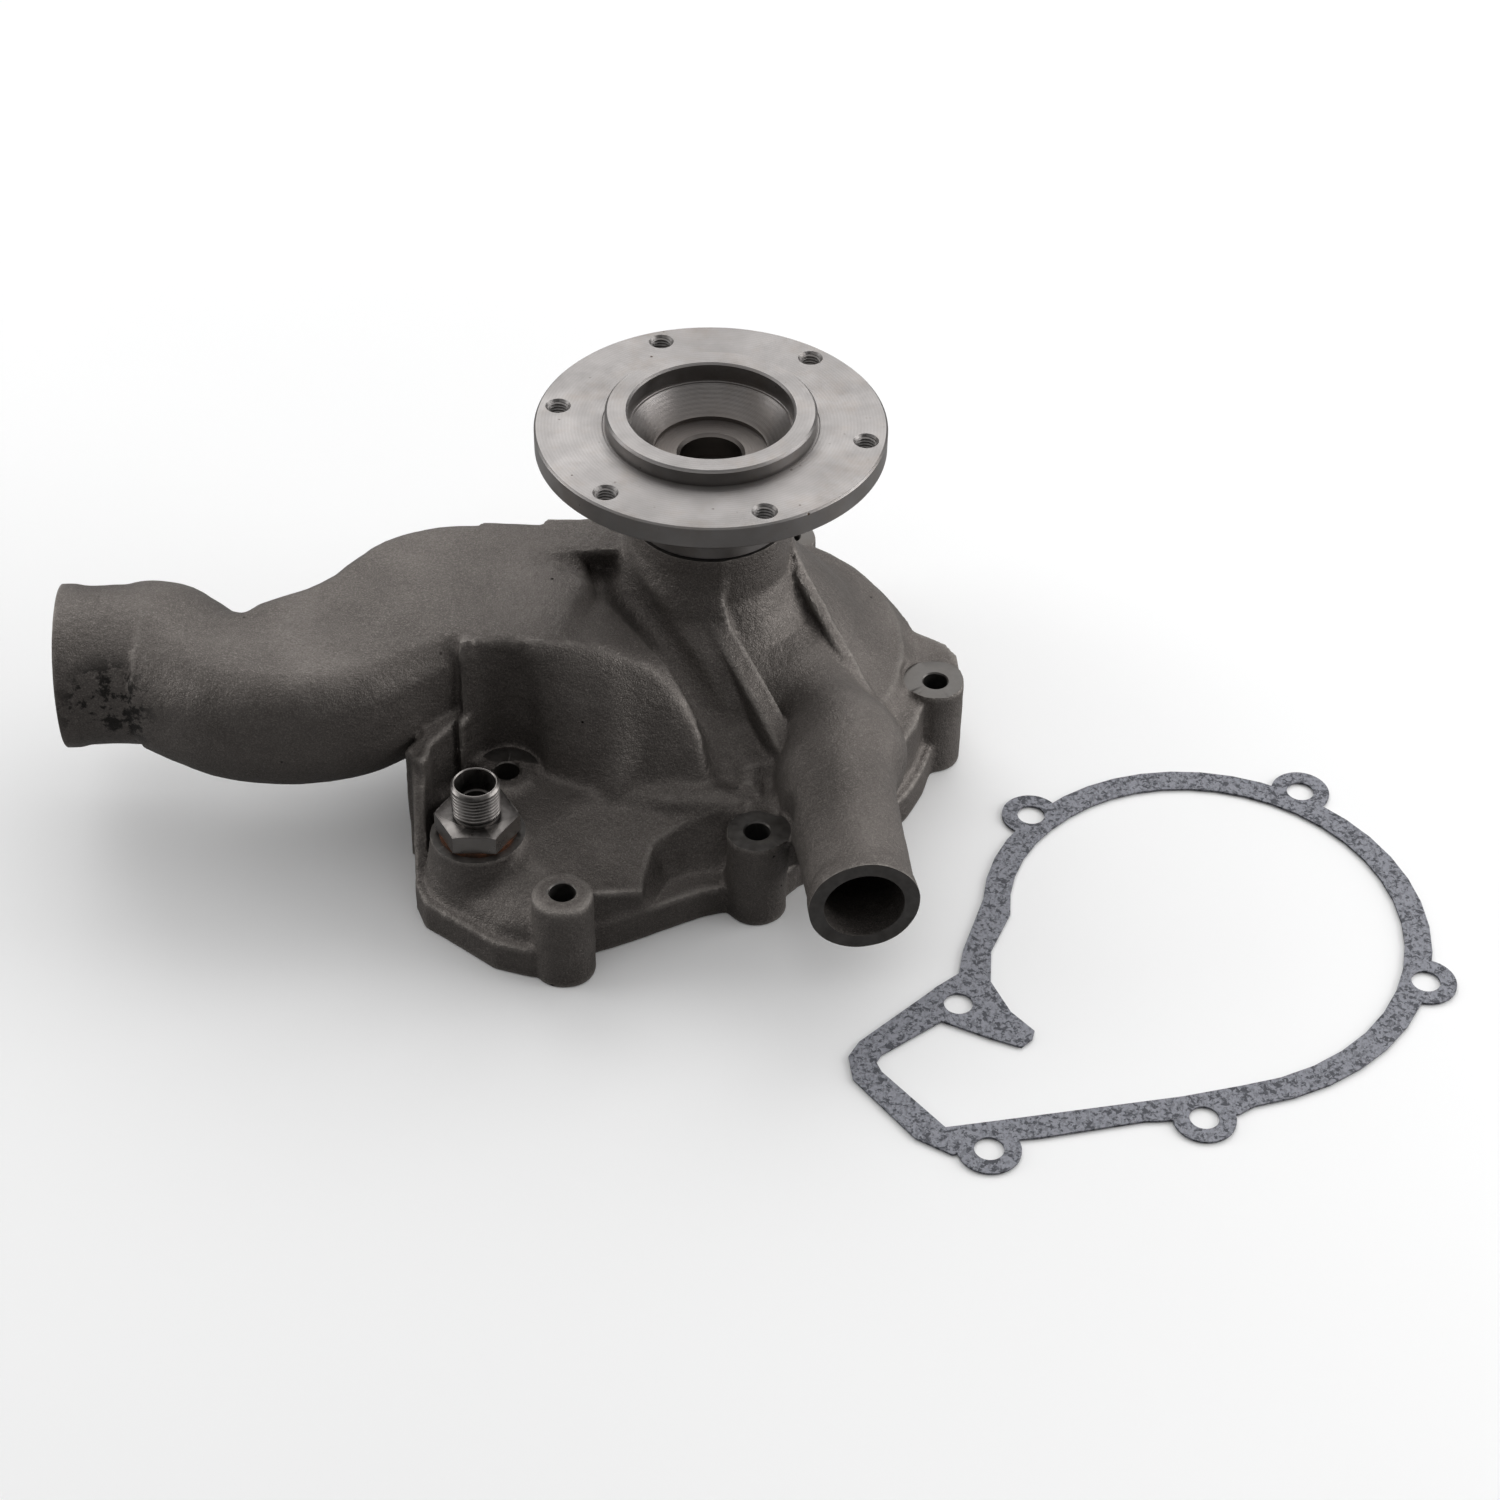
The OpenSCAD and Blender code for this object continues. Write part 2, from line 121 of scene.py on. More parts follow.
def carve(a, b, blend):
    """Field a without b, with a rounded edge."""
    return -join(-a, b, blend)


def outline_distance(points):
    """Signed distance in plan to a closed outline, negative inside."""
    best = np.full((len(xs), len(ys)), 1e9, np.float32)
    sign = np.ones_like(best)
    for (ax, ay), (bx, by) in zip(points, points[1:] + points[:1]):
        ex, ey, wx, wy = bx - ax, by - ay, PX - ax, PY - ay
        t = np.clip((wx * ex + wy * ey) / (ex * ex + ey * ey), 0, 1)
        best = np.minimum(best, np.hypot(wx - ex * t, wy - ey * t))
        if ay != by:
            crosses = ((ay > PY) != (by > PY)) & (PX < ex * (PY - ay) / (by - ay) + ax)
            sign = np.where(crosses, -sign, sign)
    return best * sign


def slab(plan, low, high, edge):
    """A plan outline raised between two heights, with its edges rounded."""
    p = (plan[:, :, None] if plan.ndim == 2 else plan) + edge
    q = np.abs(Z - (low + high) / 2) - (high - low) / 2 + edge
    return np.minimum(np.maximum(p, q), 0) + np.hypot(np.maximum(p, 0), np.maximum(q, 0)) - edge


def disc(at):
    """Plan distance from a point."""
    return np.hypot(PX - at[0], PY - at[1])


def spline(rows, pieces=10):
    """Smooth rows through the given rows."""
    p = np.array(rows, float)
    p = np.vstack([2 * p[0] - p[1], p, 2 * p[-1] - p[-2]])
    out = []
    for i in range(1, len(p) - 2):
        a, b, c, d = p[i - 1:i + 3]
        for t in np.arange(pieces) / pieces:
            out.append(0.5 * (2 * b + (c - a) * t + (2 * a - 5 * b + 4 * c - d) * t ** 2
                              + (3 * b - a - 3 * c + d) * t ** 3))
    out.append(p[-2])
    return np.array(out)


def follow(rows):
    """For each plan point: distance to the left of the line, and the row values beside it."""
    shape = (len(xs), len(ys))
    best = np.full(shape, 1e9, np.float32)
    side = np.zeros(shape, np.float32)
    values = np.zeros(shape + (rows.shape[1] - 2,), np.float32)
    for a, b in zip(rows[:-1], rows[1:]):
        ex, ey, wx, wy = b[0] - a[0], b[1] - a[1], PX - a[0], PY - a[1]
        t = np.clip((wx * ex + wy * ey) / (ex * ex + ey * ey), 0, 1)
        d = np.hypot(wx - ex * t, wy - ey * t)
        near = d < best
        best = np.where(near, d, best)
        side = np.where(near, d * np.sign(ex * wy - ey * wx), side)
        here = a[2:] + t[:, :, None] * (b[2:] - a[2:])
        values = np.where(near[:, :, None], here, values)
    return side, values


def pipe(rows):
    """A level pipe. A row: x, y, half width, low, high, corner radius at the front and at the back."""
    side, v = follow(spline(rows))
    half, low, high, front, back = (v[:, :, i][:, :, None] for i in range(5))
    side = side[:, :, None]
    top = Z > (low + high) / 2
    corner = np.where(side < 0, np.where(top, front, 0.9 * half), np.where(top, back, 0.9 * half))
    corner = np.minimum(corner, np.minimum(half, (high - low) / 2))
    p, q = np.abs(side) - half + corner, np.abs(Z - (low + high) / 2) - (high - low) / 2 + corner
    return np.minimum(np.maximum(p, q), 0) + np.hypot(np.maximum(p, 0), np.maximum(q, 0)) - corner


def ridge(rows, crest):
    """Everything under a crest line that falls away. A row: x, y, z, slopes on its right and left."""
    side, v = follow(spline(rows))
    slope = np.where(side > 0, v[:, :, 2], v[:, :, 1])
    height = v[:, :, 0] - slope * (np.hypot(side, crest) - crest)
    return (Z - height[:, :, None]) / np.sqrt(1 + slope[:, :, None] ** 2)


def bar(rows):
    """A round bar along points. A row holds x, y, z and the radius."""
    field = np.full((len(xs), len(ys), len(zs)), 1e9, np.float32)
    for a, b in zip(rows[:-1], rows[1:]):
        e = np.array(b[:3], float) - a[:3]
        t = ((X - a[0]) * e[0] + (Y - a[1]) * e[1] + (Z - a[2]) * e[2]) / (e @ e)
        t = np.clip(t, 0, 1)
        d = np.sqrt((X - a[0] - e[0] * t) ** 2 + (Y - a[1] - e[1] * t) ** 2 + (Z - a[2] - e[2] * t) ** 2)
        field = np.minimum(field, d - a[3] - (b[3] - a[3]) * t)
    return field


def turned_field(profile, radius):
    """The solid swept by a closed profile of (radius, height) round an upright axis."""
    reach = np.arange(0, 130, 0.5, dtype=np.float32)
    best = np.full((len(reach), len(zs)), 1e9, np.float32)
    sign = np.ones_like(best)
    pr, pz = reach[:, None], zs[None, :]
    for (ax, ay), (bx, by) in zip(profile, profile[1:] + profile[:1]):
        ex, ey, wx, wy = bx - ax, by - ay, pr - ax, pz - ay
        t = np.clip((wx * ex + wy * ey) / (ex * ex + ey * ey), 0, 1)
        best = np.minimum(best, np.hypot(wx - ex * t, wy - ey * t))
        if ay != by:
            crosses = ((ay > pz) != (by > pz)) & (pr < ex * (pz - ay) / (by - ay) + ax)
            sign = np.where(crosses, -sign, sign)
    table = best * sign
    place = np.clip(radius[:, :, 0] / 0.5, 0, len(reach) - 1.001)
    i = place.astype(int)
    f = (place - i)[:, :, None]
    return table[i] * (1 - f) + table[i + 1] * f


def rib(start, end, width, depth, edge=0.8):
    """A flat-topped rib between two points of its top edge."""
    sx, sy, sz = start
    ux, uy = end[0] - sx, end[1] - sy
    reach = math.hypot(ux, uy)
    ux, uy = ux / reach, uy / reach
    along, side = (PX - sx) * ux + (PY - sy) * uy, (PY - sy) * ux - (PX - sx) * uy
    plan = np.maximum(np.abs(side) - width / 2, np.abs(along - reach / 2) - reach / 2)
    slope = (end[2] - sz) / reach
    top = (sz + np.clip(along, 0, reach) * slope)[:, :, None]
    q = (np.abs(Z - top + depth / 2) - depth / 2) / math.sqrt(1 + slope ** 2) + edge
    p = plan[:, :, None] + edge
    return np.minimum(np.maximum(p, q), 0) + np.hypot(np.maximum(p, 0), np.maximum(q, 0)) - edge


def lumps(cell, seed):
    """Smooth random values from about -1 to 1 with bumps about that many millimetres across."""
    rng = np.random.default_rng(seed)
    counts = [int((HIGH[i] - LOW[i]) / cell) + 4 for i in range(3)]
    field = rng.uniform(-1, 1, counts).astype(np.float32)
    for axis, places in enumerate((xs, ys, zs)):
        u = (places - LOW[axis]) / cell
        i = u.astype(int)
        f = u - i
        f = f * f * (3 - 2 * f)
        shape = [1, 1, 1]
        shape[axis] = len(places)
        f = f.reshape(shape).astype(np.float32)
        field = np.take(field, i, axis) * (1 - f) + np.take(field, i + 1, axis) * f
    return field


def casting_outside():
    flange = outline_distance(FLANGE_OUTLINE)
    body = slab(flange, -12, FLANGE_T, 1.2)
    # Raised deck: flush with the flange by the front boss, set back beside it, sunk between the two
    deck_plan = outline_distance(DECK_OUTLINE)
    sag = 15 * np.clip(1 - np.hypot(PX + 17, PY + 119) / 46, 0, 1) ** 1.15
    deck = slab(deck_plan, -12, DECK_H, 1.6)
    lean = (deck_plan[:, :, None] + 0.55 * (Z - FLANGE_T) - 1) / 1.14
    notch = (PX > -22) & (PX < 16) & (PY < -85)
    deck = np.where(notch[:, :, None], np.maximum(deck, lean), deck)
    deck = carve(deck, (DECK_H - sag)[:, :, None] - Z, 0.8)
    free = (PX + 88.5) * 0.614 + (PY + 128.5) * 0.789
    corner = (Z - FLANGE_T - 1.0 * free[:, :, None]) / 1.41
    deck = carve(deck, -corner, 4)
    body = join(body, deck, 3)
    ear = outline_distance([(50, 30), (67, 24.5), (92.5, 9), (96.5, 2), (97.5, -12), (80, -20), (60, -20)])
    body = join(body, slab(ear, 5, 36.5, 0.8), 1)
    for at in BOLTS:
        body = join(body, slab(disc(at) - BOSS_R, -12, BOSS_H + 0.8, 0.6), 2.5)
    # Dome, shoulder and neck, lower in the sector between the two stiffening ribs
    dome = turned_field([(0, -12), (79, -12), (79, 36.5), (75, 42.5), (64, 45), (58.5, 48.5),
                         (55.5, 56.5), (45, 69), (36, 79), (31.8, 90), (NECK_R, 96), (NECK_R, 109),
                         (0, 109)], R)
    low_dome = turned_field([(0, -12), (79, -12), (79, 34), (70, 42), (60, 50), (48, 62), (40, 67),
                             (34, 75), (NECK_R, 84), (NECK_R, 109), (0, 109)], R)
    sector = outline_distance([(7, -20), (6, -31), (33, -73), (50, -92), (86, -62), (62, -35), (31, -2),
                               (20, 0)])
    dome = carve(dome, slab(sector, 20, 125, 1), 1.5)
    body = join(body, join(dome, low_dome, 2), 4)
    # Inlet roof, the scroll that falls round the front of the neck, and the valley between scroll and neck
    roof = slab(outline_distance([(-90, -60.5), (-60, -60.5), (-50, -57), (-46, -40), (-52, -8), (-52, 17),
                                  (-90, 18)]), -12, ROOF_Z, 7)
    step_plan = outline_distance([(-64, -6), (-29, -1.5), (-12, 14), (-24, 19), (-64, 17.5)])
    step_roof = slab(step_plan, -12, ROOF_Z - 0.2, 1)
    scroll = ridge([(-98, -59, 88.5, 20, 0.1), (-74, -59, 88.5, 14, 0.1), (-56, -58, 87.5, 5, 0.1),
                    (-38, -56, 84.5, 2.3, 0.12), (-22, -57, 77.5, 2.1, 0.25), (-10, -62, 67, 2.1, 0.5),
                    (1, -68.5, 55, 2.1, 0.9), (11, -76, 41, 2.1, 1)], 7)
    fence_plan = outline_distance([(-90, -92), (20, -92), (20, -70), (0, -20), (-10, 10), (-90, 0)])
    fence = slab(fence_plan, -12, 95, 2)
    scroll = np.maximum(scroll, fence)
    scroll = join(scroll, roof, 4)
    scroll = join(scroll, step_roof, 1.2)
    # Inlet pipe
    inlet = pipe([
        (-244, -43.8, 30, 31, 91, 30, 30), (-235.5, -43.2, 30, 31, 91, 30, 30),
        (-230, -42.8, 29.2, 31.8, 90.2, 29.2, 29.2), (-216, -41.8, 29.2, 31.8, 90.4, 29, 29),
        (-204, -41.8, 30.4, 30.4, 91, 27, 29.5), (-187, -50.5, 29.7, 28.6, 86.6, 21, 29),
        (-172, -56.8, 30, 28, 86, 18, 17), (-153, -56.5, 32.3, 27, 86.3, 15, 11),
        (-136, -51.5, 33.2, 27, 86.5, 13, 9), (-122, -41.5, 33, 27, 87, 11, 8),
        (-110, -31, 36, 27, 88, 9, 8),
        (-98, -23, 38, 27, ROOF_Z, 8, 7), (-80, -22, 38, 27, ROOF_Z - 0.2, 8, 7)])
    scroll = join(scroll, inlet, 1.5)
    body = join(body, scroll, 3.5)
    body = carve(body, bar(VALLEY), 6)
    # Low swelling along the foot of the scroll
    body = join(body, bar([(-30, -79, 30, 5), (-12, -81, 31, 7), (4, -82, 31, 7), (16, -84, 28, 6)]), 3)
    # Corner gusset: an upright wall with a sloping top, then a diagonal one with a furrow up to the pipe
    body = join(body, rib((-103.8, -107, 12), (-105.8, -80, 49), 4.6, 60), 1.5)
    wall = rib((-107.5, -81, 51), (-86, -56.5, 60), 10, 75, 1)
    furrow = bar([(-107.5, -81, 53.6, 3), (-86, -56.5, 62.6, 3)])
    body = join(body, carve(wall, furrow, 1), 1.2)
    floor_plan = outline_distance([(-101.2, -103), (-101.2, -76), (-92, -66), (-89, -88), (-96, -106)])
    low_floor = slab(floor_plan, 27, 60, 4)
    body = carve(body, low_floor, 2)
    body = join(body, slab(disc(UNION_AT) - UNION_BOSS_R, -12, BOSS_H + 0.8, 0.6), 3)
    # Bypass pipe, which swells into the body between the ribs
    dx, dy = math.sin(BYPASS_TURN), -math.cos(BYPASS_TURN)
    pipe_line = [(BYPASS_AT[0] - dx * back, BYPASS_AT[1] - dy * back, BYPASS_Z, r) for back, r in
                 ((-4, 19.9), (3, 19.9), (6, 19.3), (30, 19.6), (52, 20.6), (68, 21.8))]
    body = join(body, bar(pipe_line + [(51, -64, 40.5, 21.5)]), 6)
    body = join(body, bar([(51, -64, 40.5, 21.5), (35, -34, 39, 21)]), 10)
    body = join(body, bar([(38, -94, 24, 9), (33, -82, 26, 10)]), 6)
    # Stiffening ribs
    body = join(body, rib((0.5, -29, 83), (31.5, -71.5, 50), 9, 40, 1.2), 1.2)
    body = join(body, rib((29.5, 0, 88.5), (61, -34.5, 45.5), 6, 40, 1), 1.5)
    # Room over the bosses for a socket, which leaves a groove up the wall behind the rear boss
    for at in BOLTS:
        soft_edge = 1.5 if at[1] > -60 or at[0] > 0 else 4
        body = carve(body, slab(disc(at) - SOCKET_R, BOSS_H + 0.7, 130, 1), soft_edge)
    return body


def casting_hollows(outside):
    """The coolant space, kept at least a wall's thickness inside the outside."""
    wall = 5.0
    space = slab(outline_distance(VOLUTE_OUTLINE), -12, VOLUTE_H, 3)
    space = join(space, slab(disc((0, 0)) - EYE_R, VOLUTE_H - 4, CHAMBER_LOW + 4, 0.5), 1.5)
    chamber = slab(disc((0, 0)) - CHAMBER_R, CHAMBER_LOW, CHAMBER_TOP, 5)
    bore = pipe([(-246, -44, 24.5, 36.5, 85.5, 24.5, 24.5), (-206, -41, 24.5, 36.5, 85.5, 24.5, 24.5),
                 (-187, -48, 24.5, 36.5, 84.5, 22, 22), (-168, -57, 24.5, 36, 82, 20, 18),
                 (-150, -58, 24.5, 34, 81, 18, 14), (-134, -51, 26, 34, 81, 16, 14),
                 (-118, -38, 28, 34, 81, 14, 12), (-90, -27, 29, 34, 80, 14, 12),
                 (-50, -16, 26, 34, 76, 14, 12), (-24, -8, 22, 34, 57, 10, 10)])
    bore = np.maximum(bore, 29 - R)
    space = join(space, join(chamber, bore, 4), 1)
    dx, dy = math.sin(BYPASS_TURN), -math.cos(BYPASS_TURN)
    way = [(BYPASS_AT[0] - dx * b, BYPASS_AT[1] - dy * b, BYPASS_Z, BYPASS_BORE_R) for b in (-6, 84)]
    space = join(space, bar(way + [(34, -34, 44, 12)]), 2)
    space = np.maximum(space, outside + wall)
    seal_boss = np.maximum(R - SEAL_BOSS_R, SEAL_LOW - 1 - Z)
    return carve(space, seal_boss, 2)


def mesh_of(field):
    """Surface nets: one vertex in each cell that the surface crosses, joined by quads."""
    field = field.copy()
    for axis in range(3):
        rim = np.moveaxis(field, axis, 0)
        rim[0], rim[-1] = 1, 1
    for _ in range(4):
        changed = 0
        for a, b in ((0, 1), (1, 2), (0, 2)):
            f = np.moveaxis(field, (a, b), (0, 1))
            p, q, r, s = f[:-1, :-1], f[1:, :-1], f[1:, 1:], f[:-1, 1:]
            odd = ((p < 0) == (r < 0)) & ((q < 0) == (s < 0)) & ((p < 0) != (q < 0))
            changed += int(odd.sum())
            i = np.argwhere(odd)
            for row in i:
                spots = [(0, 0), (1, 0), (1, 1), (0, 1)]
                best = min((s2 for s2 in spots if f[row[0] + s2[0], row[1] + s2[1], row[2]] >= 0),
                           key=lambda s2: f[row[0] + s2[0], row[1] + s2[1], row[2]])
                f[row[0] + best[0], row[1] + best[1], row[2]] = -0.02
        if not changed:
            break
    inside = field < 0
    corners = [(i, j, k) for i in (0, 1) for j in (0, 1) for k in (0, 1)]
    n = np.array(field.shape)

    def at(offset):
        return tuple(slice(o, n[i] - 1 + o) for i, o in enumerate(offset))

    count = sum(inside[at(c)].astype(np.int8) for c in corners)
    cells = np.argwhere((count > 0) & (count < 8))
    values = np.stack([field[tuple((cells + c).T)] for c in corners], 1)
    total, hits = np.zeros((len(cells), 3)), np.zeros((len(cells), 1))
    for i, a in enumerate(corners):
        for j, b in enumerate(corners):
            if j > i and sum(abs(p - q) for p, q in zip(a, b)) == 1:
                va, vb = values[:, i], values[:, j]
                cross = (va < 0) != (vb < 0)
                t = np.where(cross, va / np.where(cross, va - vb, 1), 0)[:, None]
                place = np.array(a) + t * (np.array(b) - np.array(a))
                total += place * cross[:, None]
                hits += cross[:, None]
    points = (cells + total / hits) * STEP + LOW
    index = np.full(tuple(n - 1), -1, np.int64)
    index[tuple(cells.T)] = np.arange(len(cells))
    quads = []
    for axis in range(3):
        u, v = (axis + 1) % 3, (axis + 2) % 3
        head = [slice(1, n[i] - 1) for i in range(3)]
        tail = list(head)
        head[axis], tail[axis] = slice(0, n[axis] - 1), slice(1, n[axis])
        lo, hi = inside[tuple(head)], inside[tuple(tail)]
        edge = np.argwhere(lo != hi)
        edge[:, u] += 1
        edge[:, v] += 1
        flip = ~inside[tuple(edge.T)]
        ring = []
        for du, dv in ((-1, -1), (0, -1), (0, 0), (-1, 0)):
            cell = edge.copy()
            cell[:, u] += du
            cell[:, v] += dv
            ring.append(index[tuple(cell.T)])
        quad = np.stack(ring, 1)
        quad[flip] = quad[flip][:, ::-1]
        quads.append(quad)
    return points, np.vstack(quads)


def new_object(name, points, faces):
    mesh = bpy.data.meshes.new(name)
    mesh.from_pydata((np.asarray(points, float) * MM).tolist(), [], [list(map(int, f)) for f in faces])
    mesh.update()
    thing = bpy.data.objects.new(name, mesh)
    bpy.context.scene.collection.objects.link(thing)
    return thing


def apply_modifiers(thing):
    graph = bpy.context.evaluated_depsgraph_get()
    mesh = bpy.data.meshes.new_from_object(thing.evaluated_get(graph))
    thing.modifiers.clear()
    old, thing.data = thing.data, mesh
    bpy.data.meshes.remove(old)
    mesh.name = thing.name


def cut(thing, tool, operation="DIFFERENCE"):
    """Cuts thing with tool, exactly, and removes the tool."""
    modifier = thing.modifiers.new("cut", "BOOLEAN")
    modifier.operation = operation
    modifier.solver = "MANIFOLD"
    modifier.object = tool
    before = len(thing.data.polygons)
    apply_modifiers(thing)
    if not thing.data.polygons:
        raise RuntimeError(f"{tool.name} left nothing of {thing.name}, which had {before} faces")
    bpy.data.objects.remove(tool)


def lathe(name, profile, segments=96, wave=None, place=None):
    """A closed profile of (radius, height) points turned round an axis.

    wave(radius, height, angle) changes the radius.
    """
    points, faces = [], []
    for j in range(segments):
        angle = 2 * math.pi * j / segments
        for r, z in profile:
            reach = wave(r, z, angle) if wave else r
            points.append((reach * math.cos(angle), reach * math.sin(angle), z))
    n = len(profile)
    for j in range(segments):
        k = (j + 1) % segments
        for i in range(n):
            m = (i + 1) % n
            faces.append((j * n + i, k * n + i, k * n + m, j * n + m))
    thing = new_object(name, points, faces)
    tidy_axis(thing)
    if place is not None:
        thing.data.transform(place)
    return thing


def tidy_axis(thing):
    """Joins the points that fall on a lathe's axis and makes the faces look outwards."""
    mesh = bmesh.new()
    mesh.from_mesh(thing.data)
    bmesh.ops.remove_doubles(mesh, verts=mesh.verts, dist=1e-7)
    bmesh.ops.dissolve_degenerate(mesh, dist=1e-8, edges=mesh.edges)
    bmesh.ops.recalc_face_normals(mesh, faces=mesh.faces)
    mesh.to_mesh(thing.data)
    mesh.free()


def at_mm(x, y, z, turn=(0, 0, 0)):
    return Matrix.Translation(Vector((x, y, z)) * MM) @ Euler(turn).to_matrix().to_4x4()


def rod(name, radius, low, high, place=None, segments=64):
    """A cylinder for cutting."""
    profile = [(0, low), (radius, low), (radius, high), (0, high)]
    return lathe(name, profile, segments, place=place)


def merged(name, things):
    """One object of several separate ones."""
    mesh = bmesh.new()
    for thing in things:
        mesh.from_mesh(thing.data)
        bpy.data.objects.remove(thing)
    joined = bpy.data.meshes.new(name)
    mesh.to_mesh(joined)
    mesh.free()
    result = bpy.data.objects.new(name, joined)
    bpy.context.scene.collection.objects.link(result)
    return result


def box(name, low, high, place=None):
    corners = [(x, y, z) for x in (low[0], high[0]) for y in (low[1], high[1]) for z in (low[2], high[2])]
    faces = [(0, 1, 3, 2), (4, 6, 7, 5), (0, 4, 5, 1), (2, 3, 7, 6), (0, 2, 6, 4), (1, 5, 7, 3)]
    thing = new_object(name, corners, faces)
    if place is not None:
        thing.data.transform(place)
    return thing


INLET_TURN = math.atan2(INLET_NEXT[1] - INLET_MOUTH[1], INLET_NEXT[0] - INLET_MOUTH[0])
INLET_PLACE = at_mm(*INLET_MOUTH, INLET_Z) @ Euler((0, 0, INLET_TURN)).to_matrix().to_4x4() \
    @ Euler((0, math.pi / 2, 0)).to_matrix().to_4x4()
BYPASS_PLACE = at_mm(*BYPASS_AT, BYPASS_Z) @ Euler((0, 0, BYPASS_TURN)).to_matrix().to_4x4() \
    @ Euler((-math.pi / 2, 0, 0)).to_matrix().to_4x4()


def machine(housing):
    """The machined faces and bores of the casting, cut sharp."""
    cut(housing, box("block_cut", (-300, -200, -60), (200, 200, 0)))
    cut(housing, box("neck_cut", (-80, -80, NECK_TOP), (80, 80, 140)))
    ends = [box("inlet_end", (-60, -60, -30), (60, 60, 0), INLET_PLACE),
            box("bypass_end", (-40, -40, -30), (40, 40, 0), BYPASS_PLACE)]
    cut(housing, merged("ends", ends))
    faces = [rod("spot", SPOT_R, BOSS_H, BOSS_H + 3, place=at_mm(*p, 0)) for p in BOLTS]
    faces.append(rod("union_spot", UNION_BOSS_R + 1, BOSS_H, BOSS_H + 3, place=at_mm(*UNION_AT, 0)))
    cut(housing, merged("spot_faces", faces))
    drill = [(0, -1), (BOLT_HOLE_R, -1), (BOLT_HOLE_R, BOSS_H - 0.5), (BOLT_HOLE_R + 0.5, BOSS_H),
             (BOLT_HOLE_R + 0.5, BOSS_H + 2), (0, BOSS_H + 2)]
    holes = [lathe("hole", drill, 48, place=at_mm(*p, 0)) for p in BOLTS]
    holes.append(rod("union_hole", UNION_THREAD_R, -1, BOSS_H + 2, place=at_mm(*UNION_AT, 0)))
    cut(housing, merged("holes", holes))
    groove_r = BEARING_R + 1.25
    middle = lathe("bearing_bore", [
        (0, SEAL_LOW - 2), (SEAL_BORE_R, SEAL_LOW - 2), (SEAL_BORE_R, SEAL_TOP), (SHAFT_WAY_R, SEAL_TOP),
        (SHAFT_WAY_R, REAR_Z),
        (BEARING_R, REAR_Z), (BEARING_R, RING_Z), (groove_r, RING_Z), (groove_r, RING_Z + RING_T),
        (BEARING_R, RING_Z + RING_T), (BEARING_R, NECK_TOP - 1), (BEARING_R + 1, NECK_TOP),
        (BEARING_R + 1, NECK_TOP + 3), (0, NECK_TOP + 3)], 128)
    cut(housing, middle)
    cut(housing, rod("weep", 2.5, 0, 80, place=at_mm(0, 0, 60.5, (0, 0, math.radians(60)))
                     @ Euler((0, math.pi / 2, 0)).to_matrix().to_4x4()))


def mark_machined(mesh):
    """Gives the machined faces of the casting the second material slot."""
    n = len(mesh.polygons)
    centre, normal = np.zeros(n * 3), np.zeros(n * 3)
    mesh.polygons.foreach_get("center", centre)
    mesh.polygons.foreach_get("normal", normal)
    c, nz = centre.reshape(-1, 3) / MM, normal.reshape(-1, 3)[:, 2]
    cut_face = (np.abs(c[:, 2]) < 0.05) | (np.abs(c[:, 2] - NECK_TOP) < 0.05)
    flat = (np.abs(c[:, 2] - BOSS_H) < 0.05) & (nz > 0.99)
    cut_face |= flat
    for at in BOLTS:
        cut_face |= np.hypot(c[:, 0] - at[0], c[:, 1] - at[1]) < BOLT_HOLE_R + 0.6
    cut_face |= (np.hypot(c[:, 0], c[:, 1]) < BEARING_R + 1.3) & (c[:, 2] > SEAL_LOW - 2.5)
    for place, reach in ((INLET_PLACE, INLET_R), (BYPASS_PLACE, BYPASS_R)):
        back = np.array(place.inverted())
        local = (centre.reshape(-1, 3) @ back[:3, :3].T + back[:3, 3]) / MM
        cut_face |= (np.abs(local[:, 2]) < 0.05) & (np.hypot(local[:, 0], local[:, 1]) < reach + 3)
    mesh.polygons.foreach_set("material_index", cut_face.astype(np.int32))


def smooth(thing, degrees=35):
    thing.data.polygons.foreach_set("use_smooth", [True] * len(thing.data.polygons))
    thing.data.set_sharp_from_angle(angle=math.radians(degrees))


def keep_in_box(thing):
    """Moves the few points that the cast lumps put past the object's box back onto it."""
    low, high = (np.array(corner, float) for corner in cad_box)
    points = np.zeros(len(thing.data.vertices) * 3)
    thing.data.vertices.foreach_get("co", points)
    points = np.clip(points.reshape(-1, 3), low + 2e-6, high - 2e-6)
    thing.data.vertices.foreach_set("co", points.ravel())
    thing.data.update()


def make_housing():
    outside = casting_outside()
    outside += 0.22 * lumps(9, 1) + 0.12 * lumps(4, 2)
    field = np.maximum(outside, -casting_hollows(outside))
    points, quads = mesh_of(field.astype(np.float32))
    housing = new_object("housing_casting", points, quads)
    machine(housing)
    keep_in_box(housing)
    smooth(housing, 38)
    return housing


housing = make_housing()


def strand(turns_per_mm, angle, height):
    """Where a point is across a thread: 0 at a crest, 1 at the next."""
    return (height * turns_per_mm - angle / (2 * math.pi)) % 1


def threaded(radius, depth, pitch, low, high, fade):
    """A wave for lathe() that cuts a screw thread into a cylinder of that radius between two heights."""
    def wave(r, z, angle):
        if abs(r - radius) > 0.01 or not low <= z <= high:
            return r
        near_end = min(z - low, high - z) / fade
        groove = 0.5 - 0.5 * math.cos(2 * math.pi * strand(1 / pitch, angle, z))
        return r - depth * groove * min(1, near_end)
    return wave


def rows(radius, low, high, step):
    count = max(2, round((high - low) / step) + 1)
    return [(radius, low + (high - low) * i / (count - 1)) for i in range(count)]


